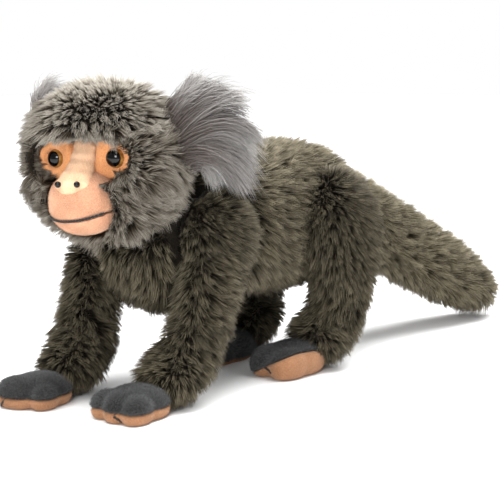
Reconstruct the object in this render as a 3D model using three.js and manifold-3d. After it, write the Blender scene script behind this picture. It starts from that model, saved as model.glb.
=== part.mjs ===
// A stuffed marmoset monkey that stands on its four paws, in millimetres.
// X runs to the toy's left, Y from the nose to the tail, Z up; the paws stand on Z = 0.
// Long-pile covers are shells over polyester stuffing; the face, palms and soles are short velour.

import * as THREE from 'three';
import { mergeVertices } from 'three/addons/utils/BufferGeometryUtils.js';
import Module from 'manifold-3d';

const wasm = await Module();
wasm.setup();

// ---------------------------------------------------------------------------
// Driving dimensions
// ---------------------------------------------------------------------------

const GAP = 0.3;                       // clearance between pieces that touch
const SLACK = 1;                       // room between a cover's backing and its stuffing
const PLUSH = 6;                       // long-pile fabric, from its backing to the middle of its pile
const BOX_CENTRE = { x: -8.5, y: 127.8 };   // middle of the toy's own box, in the modelling frame

const LIMB_PLANE = 24;                 // the limbs turn against flat faces this far from the middle
const SHOULDER = { y: 28, z: 98, radius: 34, out: 54 };
const HIP = { y: 139, z: 92, radius: 36, out: 54 };
const ARM_SWEEP = 70;                  // how far from the shoulder the arm stays off the body
const LEG_SWEEP = 62;
const LEG_SWING = { aim: -84, room: 54 };   // where the leg points and turns, degrees from +Y
const ARM_SWING = { aim: -123, room: 74 };
const RIGHT_REACH = 18;                // the right arm reaches this much further forward
const HAND_SHARE = 0.9;                // how much of that reach its hand moves
const SWING_SHARE = 0.7;               // degrees of swing for each millimetre of reach
const HAND = { left: 36, right: -31, y: -46, z: 6.5, wide: 20.5, long: 24, high: 13, split: 7.5, tilt: 0 };
const FOOT = { x: 30, y: 101, z: 8, wide: 19, long: 28, high: 14, split: 9.5, tilt: 26 };
const CUFF = 1.5;                      // the limb covers stop this far above the ground
const STITCH = 0.7;                    // radius of the black stitches on the paws and the mouth
const BELLY = { wide: 15, middle: 40, high: 30 };   // half-width, middle and half-height of the belly gusset

const HEAD = { y: -33, z: 149, yaw: 15, roll: 4, wide: 47, deep: 43, high: 46, box: 2.4, cheek: 3 };
const CROWN = { wide: 13, floor: 8 };  // half-width of the crown gusset, and where it starts
const NECK = { pitch: 45, radius: 14, inner: 30, outer: 78, cup: 52, opening: 27 };
const FACE_FLOOR = -17;                // the face is set into the head as far as this, along its own Y
const STUFFING_FLOOR = -12.5;          // the stuffing stops here, clear of the eye washers
const MASK_DEPTH = 6;
const EYE = { x: 20.2, y: -20.5, z: 2.8, radius: 6, pupil: 4.35, splay: 10 };
const MUZZLE = { y: -25, z: -23, wide: 20.5, deep: 20, high: 17.5, mouth: -31 };
const NOSTRIL = { x: 6.4, y: -42.4, z: -10, radius: 1.9 };

const TAIL = { y: 188, z: 95, radius: 22.5, slope: -28.5, lifts: [0, 22, 45] };
const CURL = { x: 2, y: 258, z: 57, overlap: 14 };  // where the tail's tip turns
const PELLETS = { y: 98, z: 76, x: 12, long: 30, high: 13 };
const BIG = 400;                       // cutting blocks reach this far, past the whole toy

// ---------------------------------------------------------------------------
// Solids
// ---------------------------------------------------------------------------

// A three.js geometry as a closed solid with its faces pointing out.
function solidOf(geometry) {
  const bare = new THREE.BufferGeometry();
  bare.setAttribute('position', geometry.attributes.position.clone());
  if (geometry.index) bare.setIndex(geometry.index.clone());
  const merged = mergeVertices(bare, 1e-3);
  const at = merged.attributes.position.array;
  const corners = [...merged.index.array];
  const faces = [];
  let volume = 0;
  const corner = (k) => new THREE.Vector3(at[3 * k], at[3 * k + 1], at[3 * k + 2]);
  for (let i = 0; i < corners.length; i += 3) {
    const [a, b, c] = corners.slice(i, i + 3);
    if (a === b || b === c || c === a) continue;
    volume += corner(a).dot(corner(b).cross(corner(c)));
    faces.push([a, b, c]);
  }
  const triVerts = Uint32Array.from(faces.flatMap(([a, b, c]) => (volume > 0 ? [a, b, c] : [a, c, b])));
  return new wasm.Manifold(new wasm.Mesh({ numProp: 3, vertProperties: Float32Array.from(at), triVerts }));
}

const join = (first, ...rest) => rest.reduce((whole, next) => whole.add(next), first);
const cut = (first, ...rest) => rest.reduce((whole, next) => whole.subtract(next), first);

function moved(geometry, x, y, z) {
  geometry.translate(x, y, z);
  return geometry;
}

const block = (wide, deep, high, x, y, z) => solidOf(moved(new THREE.BoxGeometry(wide, deep, high), x, y, z));
const under = (z) => block(BIG, BIG, BIG, 0, BIG / 4, z - BIG / 2);
const over = (z) => block(BIG, BIG, BIG, 0, BIG / 4, z + BIG / 2);
const leftOf = (x) => block(BIG, BIG, BIG, x + BIG / 2, BIG / 4, BIG / 4);
const rightOf = (x) => block(BIG, BIG, BIG, x - BIG / 2, BIG / 4, BIG / 4);

function ellipsoid(wide, deep, high, x, y, z, around = 18, rows = 12) {
  const geometry = new THREE.SphereGeometry(1, around, rows);
  geometry.rotateX(Math.PI / 2);
  geometry.scale(wide, deep, high);
  return solidOf(moved(geometry, x, y, z));
}

// A profile of [radius, distance] pairs turned about an axis through a point.
function turned(profile, axis, from, segments = 24) {
  const geometry = new THREE.LatheGeometry(profile.map(([r, d]) => new THREE.Vector2(r, d)), segments);
  geometry.applyQuaternion(new THREE.Quaternion().setFromUnitVectors(new THREE.Vector3(0, 1, 0), axis));
  return solidOf(moved(geometry, from.x, from.y, from.z));
}

const rod = (radius, start, end, axis, from, segments) =>
  turned([[0, start], [radius, start], [radius, end], [0, end]], axis, from, segments);

// Cutting tools: a rod and a ball whose flat facets lie outside the true radius.
const boreRod = (radius, start, end, axis, from, segments) =>
  rod(radius / Math.cos(Math.PI / segments), start, end, axis, from, segments);

function boreBall(radius, at, around = 12, rows = 8) {
  const outer = radius / (Math.cos(Math.PI / around) * Math.cos(Math.PI / (2 * rows)));
  return ellipsoid(outer, outer, outer, at.x, at.y, at.z, around, rows);
}

// Rings strung along a curve, closed by rounded ends: the form of a stuffed tube.
// Each station has a place, a half-width across X (wide) and a half-width across that (deep).
function stuffedForm(stations, { around = 14, rows = 12, startCap = 20, endCap = 20, grow = 0 } = {}) {
  const spine = new THREE.CatmullRomCurve3(stations.map((s) => new THREE.Vector3(s.x ?? 0, s.y, s.z)));
  const sizes = new THREE.CatmullRomCurve3(stations.map((s) => new THREE.Vector3(s.wide, s.deep, 0)));
  const length = spine.getLength();
  const geometry = new THREE.SphereGeometry(1, around, rows);
  const place = geometry.attributes.position;
  const across = new THREE.Vector3(1, 0, 0);
  for (let i = 0; i < place.count; i += 1) {
    const rim = Math.hypot(place.getX(i), place.getZ(i));
    const share = THREE.MathUtils.clamp((1 - place.getY(i)) / 2, 0, 1);
    const t = spine.getUtoTmapping(share);
    const tangent = spine.getTangent(t).normalize();
    const side = across.clone().addScaledVector(tangent, -across.dot(tangent)).normalize();
    const lift = new THREE.Vector3().crossVectors(tangent, side);
    const size = sizes.getPoint(t);
    const first = Math.max(0, 1 - (share * length) / startCap);
    const last = Math.max(0, 1 - ((1 - share) * length) / endCap);
    const round = rim < 1e-6 ? 0 : Math.sqrt(Math.max(0, 1 - first * first - last * last)) / rim;
    const point = spine.getPoint(t).addScaledVector(tangent, grow * (2 * share - 1));
    point.addScaledVector(side, (size.x + grow) * round * place.getX(i));
    point.addScaledVector(lift, (size.y + grow) * round * place.getZ(i));
    place.setXYZ(i, point.x, point.y, point.z);
  }
  return solidOf(geometry);
}

// A round thread along a curve.
function thread(points, radius, steps = 10) {
  const section = new THREE.Shape().absarc(0, 0, radius, 0, 2 * Math.PI);
  const path = new THREE.CatmullRomCurve3(points);
  return solidOf(new THREE.ExtrudeGeometry(section, { steps, curveSegments: 3, extrudePath: path }));
}

// ---------------------------------------------------------------------------
// The scene
// ---------------------------------------------------------------------------

const COLOURS = {
  fur: 0x4d4a3e, ear_fur: 0x7d7975, velour: 0xe0a982, palm: 0xb48c71, paw: 0x45443f,
  stuffing: 0xeeece4, amber: 0x9a6a30, black: 0x0b0a09, washer: 0xe6e6e2, pellet_bag: 0xd8d4c6,
};
const ROUGHNESS = { amber: 0.12, black: 0.2, washer: 0.45 };

const toy = new THREE.Group();
toy.position.set(-BOX_CENTRE.x, -BOX_CENTRE.y, 0);

function add(parent, name, solid, finish) {
  const { vertProperties, triVerts } = solid.getMesh();
  const geometry = new THREE.BufferGeometry();
  geometry.setAttribute('position', new THREE.BufferAttribute(Float32Array.from(vertProperties), 3));
  geometry.setIndex(new THREE.BufferAttribute(Uint32Array.from(triVerts), 1));
  geometry.computeVertexNormals();
  const material = new THREE.MeshStandardMaterial({
    color: COLOURS[finish], roughness: ROUGHNESS[finish] ?? 0.95, metalness: 0,
  });
  const mesh = new THREE.Mesh(geometry, material);
  mesh.name = name;
  parent.add(mesh);
}

const SIDES = [{ name: 'left', sign: 1 }, { name: 'right', sign: -1 }];
const X_AXIS = new THREE.Vector3(1, 0, 0);
const deg = THREE.MathUtils.degToRad;

// ---------------------------------------------------------------------------
// Limbs: a dome that turns against the body's flat side, and a tube down to the paw
// ---------------------------------------------------------------------------

const smooth = (low, high, value) => THREE.MathUtils.smoothstep(value, low, high);

// How far forward an arm's station moves: nothing at the shoulder, the whole reach by the elbow.
const reachAt = (z, reach) => -reach * smooth(-SHOULDER.z, -78, -z);

function armStations(sign, reach) {
  const rows = [
    { x: 38, y: 27, z: 100, wide: 15, deep: 26 },
    { x: 37, y: 18, z: 79, wide: 17, deep: 24 },
    { x: 36, y: 12, z: 60, wide: 19, deep: 21.5 },
    { x: 36, y: 5, z: 42, wide: 19, deep: 20 },
    { x: 35, y: -4, z: 27, wide: 19, deep: 18.5 },
    { x: 34, y: -17, z: 18, wide: 18, deep: 15.5 },
    { x: 34, y: -30, z: 13, wide: 16, deep: 11 },
  ];
  return rows.map((row) => ({ ...row, x: sign * row.x, y: row.y + reachAt(row.z, reach) }));
}

function legStations(sign) {
  const rows = [
    { x: 37, y: 138, z: 96, wide: 15, deep: 30 },
    { x: 37, y: 142, z: 66, wide: 18, deep: 22.5 },
    { x: 35, y: 141, z: 44, wide: 17.5, deep: 17.5 },
    { x: 33, y: 135, z: 26, wide: 17, deep: 16 },
    { x: 32, y: 124, z: 16.5, wide: 17, deep: 14.5 },
    { x: 31, y: 110, z: 13, wide: 15, deep: 11 },
  ];
  return rows.map((row) => ({ ...row, x: sign * row.x }));
}

// The dome's face lies on the limb plane, so it stays clear of the body through the swing.
function dome(hub, sign, grow, faceAt) {
  const reach = hub.out - LIMB_PLANE;
  const profile = [[0, faceAt], [hub.radius + grow, faceAt]];
  for (const step of grow < 0 ? [0.6] : [0.5, 0.85]) {
    const round = Math.sqrt(1 - step * step);
    profile.push([(hub.radius + grow) * round, LIMB_PLANE + (reach + grow) * step]);
  }
  profile.push([0, hub.out + grow]);
  const axis = X_AXIS.clone().multiplyScalar(sign);
  return turned(profile, axis, new THREE.Vector3(0, hub.y, hub.z), grow < 0 ? 10 : 14);
}

function limbForm(hub, sign, stations, sweep, grow, faceAt) {
  const axis = X_AXIS.clone().multiplyScalar(sign);
  const hubPoint = new THREE.Vector3(0, hub.y, hub.z);
  const mesh = grow < 0 ? { around: 8, rows: 7 } : { around: 10, rows: 8 };
  const tube = stuffedForm(stations, { ...mesh, startCap: 14, endCap: 9, grow });
  const bodySide = rod(sweep, 0, faceAt, axis, hubPoint, 16);
  return join(cut(tube, bodySide), dome(hub, sign, grow, faceAt));
}

// The room that a limb takes up in the body's side, at rest and through its swing.
function limbRoom(hub, sign, sweep, { aim, room }, grow) {
  const axis = X_AXIS.clone().multiplyScalar(sign);
  const start = LIMB_PLANE - grow;
  const hubPoint = new THREE.Vector3(0, hub.y, hub.z);
  const round = boreRod(hub.radius + GAP + grow, start, hub.out + 20, axis, hubPoint, 16);
  const from = deg(aim - room - grow * 0.8);
  const to = deg(aim + room + grow * 0.8);
  const outline = new THREE.Shape();
  outline.moveTo(0, 0);
  outline.lineTo((sweep + grow) * Math.cos(from), (sweep + grow) * Math.sin(from));
  outline.absarc(0, 0, sweep + grow, from, to);
  const fan = new THREE.ExtrudeGeometry(outline, { depth: 50, curveSegments: 4, bevelEnabled: false });
  fan.rotateX(Math.PI / 2);
  fan.rotateZ(Math.PI / 2);
  const slab = sign > 0 ? start : -start - 50;
  return join(round, solidOf(moved(fan, slab, hub.y, hub.z)));
}

function paw({ x, y, z, wide, long, high }, grow = 0) {
  return cut(ellipsoid(wide + grow, long + grow, high + grow, x, y, z, 14, 8), under(0));
}

// A paw is a grey velour top and a tan velour underside, parted by a plane that rises to the outer side.
function addPaw(names, form, sign) {
  const whole = paw(form);
  const half = (start) => {
    const slab = new THREE.BoxGeometry(BIG, BIG, BIG);
    slab.translate(0, 0, start);
    slab.rotateY(-sign * deg(form.tilt));
    return solidOf(moved(slab, form.x, form.y, form.split));
  };
  add(toy, names.top, cut(whole, half((GAP - BIG) / 2)), 'paw');
  const stitch = (radius) => {
    const points = [0.35, 0.62, 0.86, 1].map((share) => {
      const curve = Math.sqrt(1 - 0.98 * share * share);
      const height = Math.max(1.6, form.z - form.high * curve);
      return new THREE.Vector3(form.x + sign * 4, form.y - form.long * share * 0.985, height);
    });
    return thread(points, radius, 4);
  };
  add(toy, names.sole, cut(whole, half((BIG - GAP) / 2), stitch(STITCH + GAP)), 'palm');
  add(toy, names.stitch, cut(stitch(STITCH), under(0.01), over(form.split - GAP)), 'black');
}

const torsoRooms = [];
const innerRooms = [];

function addLimb(kind, side, hub, stations, sweep, swing, pawForm) {
  const { name, sign } = side;
  const outside = limbForm(hub, sign, stations, sweep, 0, LIMB_PLANE + GAP);
  const hollow = limbForm(hub, sign, stations, sweep + PLUSH, -PLUSH, LIMB_PLANE - 1);
  const filling = limbForm(hub, sign, stations, sweep + PLUSH, -PLUSH - SLACK, LIMB_PLANE + GAP);
  const pawRoom = paw(pawForm, GAP);
  add(toy, `${name}_${kind}_cover`, cut(outside, hollow, pawRoom, under(CUFF)), 'fur');
  add(toy, `${name}_${kind}_stuffing`, cut(filling, pawRoom), 'stuffing');
  torsoRooms.push(limbRoom(hub, sign, sweep, swing, 0));
  innerRooms.push(limbRoom(hub, sign, sweep, swing, PLUSH));
}

for (const side of SIDES) {
  const { name, sign } = side;
  const reach = sign < 0 ? RIGHT_REACH : 0;
  const hand = { ...HAND, x: HAND[name], y: HAND.y - reach * HAND_SHARE };
  const more = SWING_SHARE * reach;
  const armSwing = { aim: ARM_SWING.aim - more, room: ARM_SWING.room + more };
  addLimb('arm', side, SHOULDER, armStations(sign, reach), ARM_SWEEP, armSwing, hand);
  addPaw({ top: `${name}_hand_top`, sole: `${name}_palm`, stitch: `${name}_finger_thread` }, hand, sign);
  const foot = { ...FOOT, x: sign * FOOT.x };
  addLimb('leg', side, HIP, legStations(sign), LEG_SWEEP, LEG_SWING, foot);
  addPaw({ top: `${name}_foot_top`, sole: `${name}_sole`, stitch: `${name}_toe_thread` }, foot, sign);
}

// ---------------------------------------------------------------------------
// Body: two side panels and a belly gusset round the stuffing, with a pellet bag inside
// ---------------------------------------------------------------------------

const BACK = [
  { y: -21, z: 94, wide: 34, deep: 40 },
  { y: 6, z: 96, wide: 38, deep: 47 },
  { y: 40, z: 99, wide: 38, deep: 49.5 },
  { y: 75, z: 99.5, wide: 35, deep: 49 },
  { y: 108, z: 97.5, wide: 36, deep: 49 },
  { y: 138, z: 97, wide: 38, deep: 46 },
  { y: 166, z: 94.5, wide: 33, deep: 38 },
  { y: 190, z: 92, wide: 25, deep: 27 },
];

const headCentre = new THREE.Vector3(0, HEAD.y, HEAD.z);
const neckAxis = new THREE.Vector3(0, Math.cos(deg(NECK.pitch)), -Math.sin(deg(NECK.pitch)));

// The tail: a straight run down from the rump that eases off and curls to the left at its tip.
const TAIL_RUN = [
  { x: 0, y: 168.2, z: 105.7, wide: 22.5, deep: 22.5 },
  { x: 0, y: 212, z: 82, wide: 22.5, deep: 22.5 },
  { x: 0.5, y: 235, z: 69.5, wide: 22.5, deep: 22.5 },
  { x: 2, y: 258, z: 57, wide: 22, deep: 22 },
  { x: 5, y: 282, z: 43.5, wide: 21.5, deep: 21.5 },
  { x: 8, y: 304, z: 31.5, wide: 19.5, deep: 19.5 },
  { x: 11, y: 323, z: 21.5, wide: 15.5, deep: 15.5 },
  { x: 13, y: 342, z: 12, wide: 11, deep: 11 },
];
const tailHub = new THREE.Vector3(0, TAIL.y, TAIL.z);
const curlHub = new THREE.Vector3(CURL.x, CURL.y, CURL.z);
const curlAxis = new THREE.Vector3(0.09, 0.875, -0.48).normalize();

const ball = (radius, at) => ellipsoid(radius, radius, radius, at.x, at.y, at.z, 12, 8);
const tailForm = (grow, mesh) =>
  stuffedForm(TAIL_RUN, { ...mesh, startCap: TAIL.radius, endCap: 20, grow });

function bodyForm(grow, rooms, mesh) {
  return cut(stuffedForm(BACK, { ...mesh, startCap: 24, endCap: 30, grow }), ...rooms);
}

// What the head, the neck and the lifting tail take out of the body.
function bodyEnds() {
  const neck = boreRod(NECK.radius + GAP, 20, NECK.outer + GAP, neckAxis, headCentre, 12);
  const rooms = [boreBall(NECK.cup, headCentre), neck];
  rooms.push(boreBall(TAIL.radius + GAP, tailHub));
  for (const lift of TAIL.lifts) {
    const slope = deg(TAIL.slope + lift);
    const along = new THREE.Vector3(0, Math.cos(slope), Math.sin(slope));
    rooms.push(boreRod(TAIL.radius + GAP, 0, 70, along, tailHub, 12));
  }
  return rooms;
}

function addBody() {
  const ends = bodyEnds();
  const fine = { around: 14, rows: 12 };
  const plain = { around: 8, rows: 8 };
  const shell = cut(bodyForm(0, torsoRooms, fine), bodyForm(-PLUSH, innerRooms, plain), ...ends);
  const gusset = (grow) =>
    block(2 * (BELLY.wide + grow), BIG, 2 * (BELLY.high + grow), 0, BIG / 4, BELLY.middle);
  add(toy, 'body_left_panel', cut(shell.intersect(leftOf(GAP / 2)), gusset(GAP)), 'fur');
  add(toy, 'body_right_panel', cut(shell.intersect(rightOf(-GAP / 2)), gusset(GAP)), 'fur');
  add(toy, 'belly_gusset', shell.intersect(gusset(0)), 'fur');
  const bag = (grow) =>
    ellipsoid(PELLETS.x + grow, PELLETS.long + grow, PELLETS.high + grow, 0, PELLETS.y, PELLETS.z, 10, 6);
  const filling = cut(bodyForm(-PLUSH - SLACK, innerRooms, plain), ...ends, bag(GAP));
  add(toy, 'body_upper_stuffing', filling.intersect(over(PELLETS.z + GAP / 2)), 'stuffing');
  add(toy, 'body_lower_stuffing', filling.intersect(under(PELLETS.z - GAP / 2)), 'stuffing');
  add(toy, 'pellet_bag', bag(0), 'pellet_bag');
}

function addTail() {
  const outer = tailForm(0, { around: 12, rows: 11 });
  const inner = (grow) => tailForm(-PLUSH - grow, { around: 8, rows: 8 });
  const behind = (back) => rod(60, -200, -back, curlAxis, curlHub, 8);
  const beyond = (back) => rod(60, -back, 200, curlAxis, curlHub, 8);
  const base = cut(outer, beyond(CURL.overlap), boreBall(TAIL.radius - GAP, curlHub));
  const tip = join(cut(outer, behind(0)), ball(TAIL.radius - 2 * GAP, curlHub));
  add(toy, 'tail_base_cover', cut(base, inner(0)), 'fur');
  add(toy, 'tail_base_stuffing', inner(SLACK).intersect(base), 'stuffing');
  add(toy, 'tail_tip_cover', cut(tip, inner(0)), 'fur');
  add(toy, 'tail_tip_stuffing', inner(SLACK).intersect(tip), 'stuffing');
}

// ---------------------------------------------------------------------------
// Neck and head
// ---------------------------------------------------------------------------

function addNeck() {
  const profile = [[0, NECK.inner + GAP]];
  for (const share of [0.5, 1]) {
    const r = NECK.radius * share;
    profile.push([r, Math.sqrt((NECK.inner + GAP) ** 2 - r * r)]);
  }
  profile.push([NECK.radius, NECK.outer], [0, NECK.outer]);
  add(toy, 'neck_stuffing', turned(profile, neckAxis, headCentre, 16), 'stuffing');
}

const head = new THREE.Group();
head.position.copy(headCentre);
head.rotation.set(0, -deg(HEAD.roll), deg(HEAD.yaw), 'ZYX');
toy.add(head);

// An oval cylinder along the head's own Y.
function ovalBar(wide, high, x, z, from, to, segments = 16) {
  const geometry = new THREE.CylinderGeometry(1, 1, to - from, segments);
  geometry.scale(wide, 1, high);
  return solidOf(moved(geometry, x, (from + to) / 2, z));
}

const LOBE = { x: 16.5, z: 2.5, wide: 15.5, high: 12.7 };
const lobe = (sign, grow, from, to) =>
  ovalBar(LOBE.wide + grow, LOBE.high + grow, sign * LOBE.x, LOBE.z, from, to);

function faceOpening(grow, floor = FACE_FLOOR) {
  const outer = -70;
  const bridge = block(2 * (10 + grow), floor - outer, 34 + grow, 0, (floor + outer) / 2, -2 + grow / 2);
  const jaw = ovalBar(MUZZLE.wide + 1 + grow, MUZZLE.high + 3 + grow, 0, MUZZLE.z, outer, floor);
  return join(bridge, jaw, lobe(1, grow, outer, floor), lobe(-1, grow, outer, floor));
}

// The head is a rounded box, a little fuller at the cheeks.
function headForm(grow, around, rows) {
  const geometry = new THREE.SphereGeometry(1, around, rows);
  geometry.rotateX(Math.PI / 2);
  const place = geometry.attributes.position;
  const way = new THREE.Vector3();
  for (let i = 0; i < place.count; i += 1) {
    way.fromBufferAttribute(place, i);
    const power = way.toArray().reduce((sum, part) => sum + Math.abs(part) ** HEAD.box, 0);
    const cheek = HEAD.cheek * Math.exp(-(((way.z + 0.45) / 0.35) ** 2)) * Math.abs(way.x);
    way.multiplyScalar(power ** (-1 / HEAD.box));
    way.multiply(new THREE.Vector3(HEAD.wide + grow + cheek, HEAD.deep + grow, HEAD.high + grow));
    place.setXYZ(i, way.x, way.y, way.z);
  }
  return solidOf(geometry);
}

// Lathe profiles along the way an eye looks, from the middle of the eyeball.
function eyeAim(sign) {
  return new THREE.Vector3(sign * Math.sin(deg(EYE.splay)), -Math.cos(deg(EYE.splay)), 0);
}

function eyePieces(sign) {
  const from = new THREE.Vector3(sign * EYE.x, EYE.y, EYE.z);
  const aim = eyeAim(sign);
  const rim = EYE.pupil + GAP;
  const ring = Math.sqrt(EYE.radius ** 2 - rim ** 2);
  const lens = Math.sqrt(EYE.radius ** 2 - EYE.pupil ** 2);
  const iris = [[0, 3], [rim, 3], [rim, ring], [5.4, 2.6], [EYE.radius, 0], [2, 0], [2, -7], [0, -7]];
  const pupil = [[0, 3 + GAP], [EYE.pupil, 3 + GAP], [EYE.pupil, lens], [2.5, 5.45], [0, EYE.radius]];
  const washer = [[2.3, -6.2], [8, -6.2], [8, -4.6], [2.3, -4.6], [2.3, -6.2]];
  return {
    iris: turned(iris, aim, from, 12),
    pupil: turned(pupil, aim, from, 12),
    washer: turned(washer, aim, from, 10),
    room: join(rod(EYE.radius + GAP, -GAP, 20, aim, from, 12), rod(2 + GAP, -10, 0, aim, from, 8)),
  };
}

const BRIDGE = [
  { y: -19, z: 16, wide: 9, deep: 5 },
  { y: -24, z: 6, wide: 8.5, deep: 6 },
  { y: -31, z: -4, wide: 10.5, deep: 7 },
  { y: -36.5, z: -12, wide: 12.5, deep: 7.5 },
];

function addFace() {
  const floorBlock = block(BIG, BIG, BIG, 0, FACE_FLOOR - GAP + BIG / 2, 0);
  const opening = faceOpening(-GAP, 0);
  const bridgeForm = (grow) => stuffedForm(BRIDGE, { around: 10, rows: 9, startCap: 5, endCap: 7, grow });
  const muzzleForm = (grow) =>
    ellipsoid(MUZZLE.wide + grow, MUZZLE.deep + grow, MUZZLE.high + grow, 0, MUZZLE.y, MUZZLE.z, 14, 8);
  const nostril = (sign, grow) => {
    const radius = NOSTRIL.radius + grow;
    return ellipsoid(radius, radius, radius, sign * NOSTRIL.x, NOSTRIL.y, NOSTRIL.z, 6, 5);
  };
  const lip = (radius) => {
    const drop = (MUZZLE.mouth - MUZZLE.z) / MUZZLE.high;
    const narrow = Math.sqrt(1 - drop * drop);
    const points = [-64, -40, -14, 14, 40, 64].map((turn) => new THREE.Vector3(
      MUZZLE.wide * narrow * Math.sin(deg(turn)),
      MUZZLE.y - MUZZLE.deep * narrow * Math.cos(deg(turn)),
      MUZZLE.mouth,
    ));
    return thread(points, radius, 6);
  };
  const bridge = cut(bridgeForm(0), floorBlock, nostril(1, GAP), nostril(-1, GAP)).intersect(opening);
  add(head, 'nose_bridge', bridge, 'velour');
  const nostrilRooms = [nostril(1, GAP), nostril(-1, GAP)];
  const muzzle = cut(muzzleForm(0), floorBlock, bridgeForm(GAP), ...nostrilRooms, lip(STITCH + GAP));
  add(head, 'muzzle', cut(muzzle, under(MUZZLE.mouth + GAP / 2)), 'velour');
  add(head, 'chin', cut(muzzle, over(MUZZLE.mouth - GAP / 2)), 'velour');
  add(head, 'mouth_thread', lip(STITCH), 'black');
  for (const { name, sign } of SIDES) {
    const eye = eyePieces(sign);
    const patch = lobe(sign, -GAP, FACE_FLOOR - GAP - MASK_DEPTH, FACE_FLOOR - GAP);
    const sideOnly = sign > 0 ? rightOf(GAP / 2) : leftOf(-GAP / 2);
    add(head, `${name}_eye_patch`, cut(patch, bridgeForm(GAP), muzzleForm(GAP), eye.room, sideOnly), 'velour');
    add(head, `${name}_eye`, eye.iris, 'amber');
    add(head, `${name}_pupil`, eye.pupil, 'black');
    add(head, `${name}_eye_washer`, eye.washer, 'washer');
    add(head, `${name}_nostril`, nostril(sign, 0), 'black');
  }
}

function addHead() {
  const inHead = neckAxis.clone().applyQuaternion(head.quaternion.clone().invert());
  const middle = new THREE.Vector3();
  const neckRoom = cut(rod(NECK.opening, 0, 70, inHead, middle, 14), ball(NECK.inner, middle));
  const shell = cut(headForm(0, 18, 12), headForm(-PLUSH, 12, 9), faceOpening(GAP), neckRoom);
  const crown = (grow) => block(2 * (CROWN.wide + grow), BIG, BIG, 0, 0, CROWN.floor - grow + BIG / 2);
  add(head, 'head_left_panel', cut(shell.intersect(leftOf(GAP / 2)), crown(GAP)), 'fur');
  add(head, 'head_right_panel', cut(shell.intersect(rightOf(-GAP / 2)), crown(GAP)), 'fur');
  add(head, 'crown_gusset', shell.intersect(crown(0)), 'fur');
  const filling = cut(headForm(-PLUSH - SLACK, 12, 9), faceOpening(GAP, STUFFING_FLOOR), neckRoom);
  add(head, 'head_stuffing', filling, 'stuffing');
}

// An ear is a small pad with a fan of long silky hair sewn round its edge.
function addEars() {
  for (const { name, sign } of SIDES) {
    const leaf = ([wide, long, high], [x, y, z], turn, grow) => {
      const geometry = new THREE.SphereGeometry(1, 8, 6);
      geometry.rotateX(Math.PI / 2);
      geometry.scale(wide + grow, long + grow, high + grow);
      geometry.rotateZ(-sign * deg(turn));
      return solidOf(moved(geometry, sign * x, y, z));
    };
    const pad = (grow) => leaf([2.5, 10, 11], [47.5, 17, 12], 18, grow);
    const clearHead = headForm(1, 14, 10);
    add(head, `${name}_ear_pad`, cut(pad(0), clearHead), 'velour');
    const tuft = leaf([5, 27, 20], [53.5, 38, 20], 8, 0);
    add(head, `${name}_ear_tuft`, cut(tuft, pad(GAP), clearHead), 'ear_fur');
  }
}

addBody();
addTail();
addNeck();
addFace();
addHead();
addEars();

export default toy;
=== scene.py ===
"""A plush monkey on all fours: stuffed long-pile skins, locks of pile, silky ear fans, velour face and paws.

Lengths are in metres in the row frame: +X is the monkey's left, -Y the way its body faces, +Z up.
"""

import math

import bpy
import numpy as np
from mathutils import Matrix, Vector
from mathutils.bvhtree import BVHTree
from mathutils.kdtree import KDTree


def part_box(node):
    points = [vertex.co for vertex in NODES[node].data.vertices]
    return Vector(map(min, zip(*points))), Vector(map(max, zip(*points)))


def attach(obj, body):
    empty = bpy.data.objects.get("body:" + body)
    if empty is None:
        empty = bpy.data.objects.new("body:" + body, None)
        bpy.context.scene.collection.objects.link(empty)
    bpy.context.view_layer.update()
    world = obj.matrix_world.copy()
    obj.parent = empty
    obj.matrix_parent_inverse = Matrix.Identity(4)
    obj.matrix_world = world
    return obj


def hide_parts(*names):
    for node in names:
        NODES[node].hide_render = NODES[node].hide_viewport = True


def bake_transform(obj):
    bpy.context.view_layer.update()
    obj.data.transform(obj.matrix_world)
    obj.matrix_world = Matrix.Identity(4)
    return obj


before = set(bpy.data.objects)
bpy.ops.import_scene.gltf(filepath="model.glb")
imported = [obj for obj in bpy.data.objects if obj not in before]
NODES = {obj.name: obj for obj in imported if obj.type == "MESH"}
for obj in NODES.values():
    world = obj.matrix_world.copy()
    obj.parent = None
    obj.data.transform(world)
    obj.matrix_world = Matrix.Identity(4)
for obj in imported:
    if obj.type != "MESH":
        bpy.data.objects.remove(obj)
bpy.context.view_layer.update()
MM = 0.001

# The head's own frame, as in the part's source: its centre, its turn to the monkey's left and its tilt.
HEAD_CENTRE = np.array([8.5, -160.8, 149.0]) * MM
HEAD_TURN = math.radians(15)
HEAD_TILT = math.radians(-4)
HEAD_AXES = np.array(Matrix.Rotation(HEAD_TURN, 3, "Z") @ Matrix.Rotation(HEAD_TILT, 3, "Y"))
# The way the tail runs at its bend.
CURL_AXIS = np.array([0.09, 0.875, -0.48])

# The pile: its length, one hair's thickness, the hairs to the square metre, and how many one piece holds.
PILE_LENGTH = 13.0 * MM
LOCK_WIDTH = 0.46 * MM
DENSITY = 1.5e6
LIMB_DENSITY = 1.9e6
HEAD_DENSITY = DENSITY * 1.25
SHARE = 1.0
PIECE_LOCKS = 19000
NAP_LOCKS = 45000
EAR_LOCKS = 5600
# No hair goes lower than this over the ground.
GROUND = 0.2 * MM
# The cloth pressure that fills a padded piece, its stiffness, and the frames it runs for.
PRESSURE = 4.0
STIFFNESS = 30
CLOTH_FRAMES = 20


# ---------------------------------------------------------------- meshes


def unit(v):
    return v / np.maximum(np.linalg.norm(v, axis=-1, keepdims=True), 1e-9)


def step(x, low, high):
    t = np.clip((x - low) / (high - low), 0, 1)
    return t * t * (3 - 2 * t)


def link(name, data):
    ob = bpy.data.objects.new(name, data)
    bpy.context.scene.collection.objects.link(ob)
    return ob


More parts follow.
